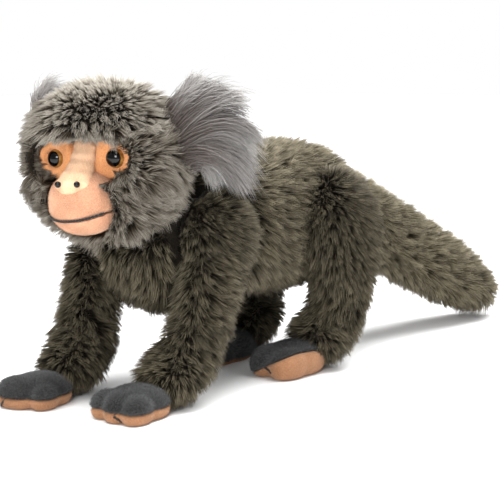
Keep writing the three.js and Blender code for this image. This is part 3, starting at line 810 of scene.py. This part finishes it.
def ear(side):
    """A fan of silky hair from a patch on the head's side: up and forward, back, and back and down."""
    rng = np.random.default_rng(31 if side == "left" else 32)
    sign = 1 if side == "left" else -1
    n = int(EAR_HAIRS * SHARE)
    turn = rng.beta(1.05, 0.95, n)
    at = np.linspace(0, 1, len(EAR_TIPS))
    tips = np.stack([np.interp(turn, at, EAR_TIPS[:, k]) for k in range(3)], 1)
    roots = np.stack(
        [
            43 + 4 * turn + rng.uniform(0, 4.5, n),
            6 + 9 * turn + rng.normal(0, 3.0, n),
            29 - 33 * turn + rng.normal(0, 2.5, n),
        ],
        1,
    )
    lock = wobble(np.stack([turn * 60, 0 * turn, 0 * turn], 1), 2.2, 8)
    share = np.clip(rng.normal(0.9, 0.1, n), 0.5, 1.05)[:, None]
    spread = rng.normal(size=(n, 3)) * (3.2, 2.6, 2.6) + lock * (2.0, 3.0, 3.0)
    tips = roots + (tips + spread - roots) * share
    reach = np.linalg.norm(tips - roots, axis=1)
    arch = reach * 0.2
    zero = 0 * arch
    p1 = roots + (tips - roots) * 0.33 + np.stack([4.0 + zero, zero, arch], 1)
    p2 = roots + (tips - roots) * 0.7 + np.stack([2.5 + zero, zero, arch * 1.1], 1)
    ctrl = np.stack([roots, p1, p2, tips], 1)
    ctrl[..., 0] *= sign
    ctrl = to_row(ctrl)
    beyond = np.abs(ctrl[..., 0]) - EAR_LIMIT
    eased = EAR_LIMIT + EAR_EASE * np.tanh(np.maximum(beyond, 0) / EAR_EASE)
    ctrl[..., 0] = np.where(beyond > 0, np.sign(ctrl[..., 0]) * eased, ctrl[..., 0])
    shade = 0.45 + 0.14 * lock[:, 2] + rng.normal(0, 0.2, n)
    width = 0.42 * MM * np.clip(rng.normal(1, 0.2, n), 0.5, 1.5)
    place = rider(f"{side}_ear")
    name = f"{side}_ear_hair"
    made = hair_pieces(name, ctrl, width, shade, 6, rng, EAR_HAIR, place, turn, EAR_LOCKS)
    pad = stuffed(f"{side}_ear_pad_skin", [f"{side}_ear_pad"], 1.6 * MM, 0.8 * MM, 0.6 * MM)
    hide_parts(f"{side}_ear_pad")
    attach(paint(pad, UNDERCOAT), f"{side}_ear")
    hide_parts(f"{side}_ear_tuft")


for s in LIMBS:
    ear(s)


# ---------------------------------------------------------------- face


def velour(name, node_name, source, mat, voxel, inset, cap):
    """A padded velour piece of the face, from its node or from arrays."""
    ob = stuffed(name, source, voxel, inset, cap, subdivide=0)
    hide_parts(node_name)
    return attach(paint(ob, mat), "head")


# The nap's roots go this far into the velour. Each nap has a length and hairs to the square metre.
NAP_DEPTH = 0.3 * MM
NAP_SIZE = {"face": (1.1 * MM, 4.0e6), "paw": (2.0 * MM, 4.4e6), "palm": (0.9 * MM, 3.4e6)}


def nap(ob, body, mat, slot, length, density, seed, width=0.22 * MM):
    """Short nap over a velour piece."""
    rng = np.random.default_rng(seed)
    at, no = scatter(ob, density * SHARE, rng)
    n = len(at)
    tangent = unit(wobble(at, 6 * MM, seed) + rng.normal(size=(n, 3)) * 0.5)
    tangent = unit(tangent - (tangent * no).sum(1, keepdims=True) * no)
    size = (length * np.clip(rng.normal(1, 0.2, n), 0.5, 1.4))[:, None]
    p1 = at + (no * 0.85 + tangent * 0.3) * size * 0.5
    p2 = p1 + (no * 0.5 + tangent * 0.7) * size * 0.5
    ctrl = np.stack([at - no * NAP_DEPTH, p1, p2], 1)
    ctrl[..., 2] = np.maximum(ctrl[..., 2], 2 * GROUND)
    shade = 0.5 + wobble(at, 9 * MM, seed + 1)[:, 0] * 0.16 + rng.normal(0, 0.18, n)
    thick = np.full(n, width)
    hair_pieces(f"{ob.name}_nap", ctrl, thick, shade, 1, rng, mat, rider(body), at[:, 0], NAP_LOCKS)


def revolved(profile, around):
    """Points and triangles of a profile of (radius, height) turned about Z from pole to pole."""
    turn = np.linspace(0, 2 * math.pi, around, endpoint=False)
    inner = profile[1:-1]
    x, y = np.outer(inner[:, 0], np.cos(turn)), np.outer(inner[:, 0], np.sin(turn))
    ring = np.stack([x, y, np.repeat(inner[:, 1:], around, 1)], 2).reshape(-1, 3)
    co = np.concatenate([[[0, 0, profile[0, 1]]], ring, [[0, 0, profile[-1, 1]]]])
    last = 1 + (len(inner) - 1) * around
    tris = []
    for j in range(around):
        k = (j + 1) % around
        tris.append((0, 1 + j, 1 + k))
        for row in range(1, last, around):
            p, q = row + j, row + k
            tris += [(p, p + around, q), (q, p + around, q + around)]
        tris.append((last + j, len(co) - 1, last + k))
    return co, np.array(tris)


def blobs(rows, power=2.0):
    """Superellipsoids, each (centre x y z, radii x y z), as one set of arrays to be fused by the remesh."""
    angle = np.linspace(0, math.pi, 15)
    unit_co, unit_tri = revolved(np.stack([np.sin(angle), np.cos(angle)], 1), 20)
    scale = (np.abs(unit_co) ** power).sum(1, keepdims=True) ** (-1 / power)
    cos, tris = [], []
    for k, row in enumerate(rows):
        cos.append(unit_co * scale * row[3:] + row[:3])
        tris.append(unit_tri + k * len(unit_co))
    return np.concatenate(cos), np.concatenate(tris)


# The nose: down from between the eyes and out to the pad, in millimetres of the head's frame.
BRIDGE = (
    (0, -16.5, 15, 8.6, 5, 5),
    (0, -19.0, 9, 8.4, 6, 6),
    (0, -22.5, 3, 8.6, 6.5, 6),
    (0, -27.0, -3, 9.6, 7, 6),
    (0, -31.5, -8, 11.4, 8, 6.5),
    (0, -34.8, -12, 13.0, 8.6, 6.5),
    (0, -35.2, -14.5, 12.0, 8.8, 5.5),
)
# The snout: a superellipsoid's middle, radii and power in the same frame, and half the gap at the mouth.
SNOUT = np.array([0, -24.5, -22.5])
SNOUT_SIZE = np.array([21.2, 20.0, 18.6])
SNOUT_POWER = 2.35
LIP_GAP = 0.3
# The chin is narrower and deeper than the snout.
CHIN_SCALE = (0.97, 0.965, 1.03)
# The mouth's thread: how far it reaches to each side, and how far it is sunk into the snout.
MOUTH_REACH = 18.6
MOUTH_SINK = 0.5
THREAD_RADIUS = 0.75 * MM


def mouth(x):
    """The height of the mouth's line across the snout: a slight smile."""
    return -31.6 + 0.055 * x + 3.4 * (x / 20) ** 2


snout_co, snout_tri = blobs([(*SNOUT, *SNOUT_SIZE)], SNOUT_POWER)
upper_lip, lower_lip = snout_co.copy(), snout_co.copy()
upper_lip[:, 2] = np.maximum(upper_lip[:, 2], mouth(upper_lip[:, 0]) + LIP_GAP)
lower_lip = (lower_lip - SNOUT) * CHIN_SCALE + SNOUT
lower_lip[:, 2] = np.minimum(lower_lip[:, 2], mouth(lower_lip[:, 0]) - LIP_GAP)
nose_co, nose_tri = blobs(BRIDGE)

# How finely each velour piece is remeshed, how far it is drawn in and how far it swells again.
FORM = {"voxel": 1.3 * MM, "inset": 0.5 * MM, "cap": 0.7 * MM}
PATCH = {"voxel": 1.5 * MM, "inset": 0.6 * MM, "cap": 0.8 * MM}
face = [
    velour("nose_bridge_velour", "nose_bridge", (to_row(nose_co), nose_tri), BRIDGE_VELOUR, **FORM),
    velour("muzzle_velour", "muzzle", (to_row(upper_lip), snout_tri), MUZZLE_VELOUR, **FORM),
    velour("chin_velour", "chin", (to_row(lower_lip), snout_tri), MUZZLE_VELOUR, **FORM),
]
for s in LIMBS:
    face.append(velour(f"{s}_eye_patch_velour", f"{s}_eye_patch", [f"{s}_eye_patch"], PATCH_VELOUR, **PATCH))
for k, (ob, mat) in enumerate(zip(face, (NOSE_NAP, FACE_NAP, FACE_NAP, PATCH_NAP, PATCH_NAP))):
    nap(ob, "head", mat, "face_velour", *NAP_SIZE["face"], 50 + k)


def lathe(name, profile, centre, axis):
    """A closed surface of revolution about an axis: profile is (radius, height) from pole to pole."""
    co, tris = revolved(np.array(profile), 64)
    turned = np.array(Vector(axis).to_track_quat("Z", "Y").to_matrix())
    return link(name, new_mesh(name, co @ turned.T + np.array(centre), tris[:, ::-1]))


def arc(radius, end, count):
    """Profile points of a circle's arc, from its pole to that angle in degrees."""
    return [(radius * math.sin(t), radius * math.cos(t)) for t in np.radians(np.linspace(0, end, count))]


def round_box(name):
    """The middle and radius of a round node."""
    low, high = (np.array(v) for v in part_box(name))
    return (low + high) / 2, float((high - low).max() / 2)


# The pupil reaches this many degrees from its pole.
PUPIL_ANGLE = 49

for s in LIMBS:
    centre, radius = round_box(f"{s}_eye")
    axis = unit(round_box(f"{s}_pupil")[0] - centre)
    eyeball = lathe(f"{s}_eye_ball", arc(radius, 180, 40), centre, axis)
    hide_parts(f"{s}_eye")
    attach(paint(eyeball, AMBER), "head")
    cap = arc(radius * 1.03, PUPIL_ANGLE, 24) + [(radius * 0.7, radius * 0.4), (0.0, radius * 0.35)]
    dot = lathe(f"{s}_eye_pupil", cap, centre, axis)
    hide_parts(f"{s}_pupil")
    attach(paint(dot, BLACK), "head")
    centre, radius = round_box(f"{s}_nostril")
    bead = lathe(f"{s}_nostril_bead", arc(radius, 180, 20), centre, (0, -1, 0))
    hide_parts(f"{s}_nostril")
    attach(paint(bead, BLACK), "head")
    paint(NODES[f"{s}_eye_washer"], WASHER)


# A thread's rings and the corners of each, how many times its radius one turn of its plies takes, and how far
# its plies lie from its middle and how thick they are, as shares of its radius.
THREAD_RINGS, THREAD_CORNERS = 90, 8
THREAD_PITCH = 5.2 / 0.9
PLY_OFFSET, PLY_RADIUS = 0.5, 0.56


def twisted(name, points, radius, body, replaced):
    """A two-ply thread along points: two round strands wound on each other."""
    line = np.array(points, float)
    at = np.linspace(0, 1, len(line))
    fine = np.linspace(0, 1, THREAD_RINGS)
    line = np.stack([np.interp(fine, at, line[:, k]) for k in range(3)], 1)
    for _ in range(6):
        line[1:-1] = (line[:-2] + 2 * line[1:-1] + line[2:]) / 4
    along = unit(np.gradient(line, axis=0))
    side = unit(np.cross(along, (0.13, 0.2, 0.97)))
    up = np.cross(along, side)
    length = np.linalg.norm(np.diff(line, axis=0), axis=1).sum()
    wind = fine * length / (radius * THREAD_PITCH) * 2 * math.pi
    n, around = THREAD_RINGS, THREAD_CORNERS
    turn = np.linspace(0, 2 * math.pi, around, endpoint=False)
    cos, tris, base = [], [], 0
    for ply in (0, math.pi):
        away = side * np.cos(wind + ply)[:, None] + up * np.sin(wind + ply)[:, None]
        mid = line + away * radius * PLY_OFFSET
        out = side[:, None] * np.cos(turn)[None, :, None] + up[:, None] * np.sin(turn)[None, :, None]
        ring = mid[:, None] + radius * PLY_RADIUS * out
        cos += [ring.reshape(-1, 3), mid[:1], mid[-1:]]
        for r in range(n - 1):
            for j in range(around):
                k = (j + 1) % around
                a, b = base + r * around + j, base + r * around + k
                tris += [(a, b, b + around), (a, b + around, a + around)]
        first, last, end = base + n * around, base + n * around + 1, base + (n - 1) * around
        for j in range(around):
            k = (j + 1) % around
            tris += [(first, base + k, base + j), (last, end + j, end + k)]
        base += n * around + 2
    ob = link(name, new_mesh(name, np.concatenate(cos), np.array(tris)))
    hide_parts(replaced)
    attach(paint(ob, THREAD), body)


def snout_front(x, z, out):
    """The snout's front at x and z, that far out of its surface."""
    u, v = np.abs((x - SNOUT[0]) / SNOUT_SIZE[0]), np.abs((z - SNOUT[2]) / SNOUT_SIZE[2])
    inside = 1 - u**SNOUT_POWER - v**SNOUT_POWER
    return SNOUT[1] - (SNOUT_SIZE[1] + out) * np.maximum(inside, 0.0) ** (1 / SNOUT_POWER)


lip_x = np.linspace(-MOUTH_REACH, MOUTH_REACH, 41)
lips = np.stack([lip_x, snout_front(lip_x, mouth(lip_x), -MOUTH_SINK), mouth(lip_x)], 1)
twisted("mouth_thread_twist", to_row(lips), THREAD_RADIUS, "head", "mouth_thread")


# ---------------------------------------------------------------- hands and feet

# Each paw is a base form and its lobes, (x y z, radii) from its middle in millimetres; +x is the monkey's left.
PAW_BASE = (0, 3, 6.5, 18.6, 20.5, 12.0)
FOOT_BASE = (0, 2, 8, 17.6, 25, 12.8)
PAW_LOBES = {
    "left_hand": (
        (-12.6, -9.5, 6.5, 8.6, 11.4, 9.4),
        (0.2, -10.5, 7.0, 9.4, 12.6, 10.8),
        (12.2, -9.0, 6.5, 8.8, 11.6, 9.6),
    ),
    "right_hand": ((-4.0, -8.5, 6.8, 15.6, 14.6, 10.8), (13.6, -5.0, 6.0, 7.0, 10.6, 8.8)),
    "left_foot": ((-7.4, -10.5, 8.0, 10.4, 15.0, 11.4), (7.4, -10.0, 8.0, 10.6, 15.4, 11.8)),
    "right_foot": ((7.4, -10.5, 8.0, 10.4, 15.0, 11.4), (-7.4, -10.0, 8.0, 10.6, 15.4, 11.8)),
}
PAW_POWER = 2.2
# Where the grey top meets the tan underside: the seam's height at the middle, its slope up to the outer side,
# and how fast it drops from SEAM_TOP to the toes and the heel.
PAW_SEAM = {"hand": (7.0, 0.0, 0.0), "foot": (10.0, math.tan(math.radians(26)), 0.004)}
SEAM_TOP = -4
SEAM_GAP = 0.2
# The stitch on each underside's front, as (x, z) from the paw's middle.
STITCH = {
    "hand": ((4.0, 7.0), (4.6, 5.0), (6.4, 3.2), (7.6, 1.6)),
    "foot": ((-2.0, 7.4), (0.2, 6.6), (2.4, 6.4), (5.0, 5.2)),
}


def middle(*names):
    """The middle of nodes' common box in plan, on the floor."""
    boxes = [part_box(n) for n in names]
    low = np.min([b[0] for b in boxes], 0)
    high = np.max([b[1] for b in boxes], 0)
    return np.array([(low[0] + high[0]) / 2, (low[1] + high[1]) / 2, 0.0])


def paw(side, kind, top, under, stitch, body, seed):
    """A hand or foot: its grey top, its tan underside with their nap, and its stitch."""
    sign = 1 if side == "left" else -1
    name = f"{side}_{kind}"
    base = PAW_BASE if kind == "hand" else FOOT_BASE
    co, tri = blobs([base, *PAW_LOBES[name]], PAW_POWER)
    height, slope, drop = PAW_SEAM[kind]
    seam = height + sign * slope * co[:, 0] - drop * (co[:, 1] - SEAM_TOP) ** 2
    upper, lower = co.copy(), co.copy()
    upper[:, 2] = np.maximum(co[:, 2], seam + SEAM_GAP)
    lower[:, 2] = np.clip(co[:, 2], 0.0, np.maximum(seam - SEAM_GAP, 0.3))
    at = middle(f"{side}_{top}", f"{side}_{under}")
    made = []
    for label, form, node_name, mat, slot in (
        (f"{name}_velour", upper, top, PAW_VELOUR, "paw_velour"),
        (f"{side}_{under}_velour", lower, under, PALM_VELOUR, "palm_velour"),
    ):
        ob = stuffed(label, (at + form * MM, tri), 1.4 * MM, 0.4 * MM, 0.7 * MM, subdivide=0)
        points, _, _ = arrays(ob.data)
        points[:, 2] = np.maximum(points[:, 2], 0.0)
        set_co(ob.data, points)
        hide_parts(f"{side}_{node_name}")
        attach(paint(ob, mat), body)
        made.append(ob)
    nap(made[0], body, PAW_NAP, "paw_velour", *NAP_SIZE["paw"], seed, width=0.26 * MM)
    nap(made[1], body, PALM_NAP, "palm_velour", *NAP_SIZE["palm"], seed + 5)
    co, _, tri = arrays(made[1].data)
    under_tree = surface(co, tri)
    line = []
    for x, z in STITCH[kind]:
        hit = under_tree.ray_cast(Vector(at + np.array([sign * x, -60, z]) * MM), Vector((0, 1, 0)))[0]
        if hit is not None:
            line.append(np.array(hit) + (0, -0.35 * MM, 0))
    twisted(f"{name}_stitch", line, THREAD_RADIUS, body, f"{side}_{stitch}")


for k, s in enumerate(LIMBS):
    paw(s, "hand", "hand_top", "palm", "finger_thread", f"{s}_arm", 60 + k)
    paw(s, "foot", "foot_top", "sole", "toe_thread", f"{s}_leg", 64 + k)


# ---------------------------------------------------------------- stage, camera and light

AIM = Vector((0.0950, -0.1278, 0.100))
AZIMUTH, ELEVATION, DISTANCE = math.radians(42), math.radians(10), 1.25
LENS, SENSOR = 155.17, 36
# The middle of the toy, which the lights face.
LIT = Vector((0, 0, 0.09))


def outward(azimuth, elevation):
    """The way from the toy to a viewer at that azimuth and elevation."""
    level = math.cos(elevation)
    return Vector((math.sin(azimuth) * level, -math.cos(azimuth) * level, math.sin(elevation)))


camera = link("camera", bpy.data.cameras.new("camera"))
camera.location = AIM + outward(AZIMUTH, ELEVATION) * DISTANCE
camera.rotation_euler = (math.pi / 2 - ELEVATION, 0, AZIMUTH)
camera.data.lens = LENS
camera.data.sensor_width = SENSOR
bpy.context.scene.camera = camera


def softbox(name, azimuth, elevation, distance, size, power):
    """A square light of that size and power that faces the toy."""
    lamp = bpy.data.lights.new(name, "AREA")
    lamp.shape, lamp.size, lamp.energy = "SQUARE", size, power
    ob = link(name, lamp)
    way = outward(math.radians(azimuth), math.radians(elevation))
    ob.location = LIT + way * distance
    ob.rotation_euler = way.to_track_quat("Z", "Y").to_euler()


softbox("key", -8, 62, 1.6, 1.2, 15)
softbox("front", 31, 19, 1.7, 0.5, 14)
softbox("fill", 100, 40, 1.8, 1.2, 6)
softbox("top", 60, 86, 1.6, 1.2, 36)
softbox("back", 175, 52, 1.8, 1.2, 44)

world = bpy.data.worlds.new("studio")
world.use_nodes = True
wt = world.node_tree
wt.nodes["Background"].inputs["Color"].default_value = (1, 1, 1, 1)
seen = node(wt, "ShaderNodeLightPath").outputs["Is Camera Ray"]
glow = node(wt, "ShaderNodeMapRange", [("Value", seen)])
glow.inputs["To Min"].default_value = 0.36
glow.inputs["To Max"].default_value = 1.0
wt.links.new(glow.outputs["Result"], wt.nodes["Background"].inputs["Strength"])
bpy.context.scene.world = world
bpy.context.scene.view_settings.view_transform = "Standard"

FLOOR_RADIUS, FLOOR_SIDES = 1.7, 96
edge = np.linspace(0, 2 * math.pi, FLOOR_SIDES, endpoint=False)
rim = np.stack([np.cos(edge), np.sin(edge), 0 * edge], 1) * FLOOR_RADIUS
spokes = np.array([(0, 1 + j, 1 + (j + 1) % FLOOR_SIDES) for j in range(FLOOR_SIDES)])
floor = link("floor", new_mesh("floor", np.concatenate([np.zeros((1, 3)), rim]), spokes))
mat, nt, b = shader("pale_floor", 0.9, 0.1)
pale = ramp(nt, grain(nt, 3, 2), [(0.3, (246, 246, 246)), (0.7, (250, 250, 250))])
nt.links.new(pale, b.inputs["Base Color"])
paint(floor, mat)
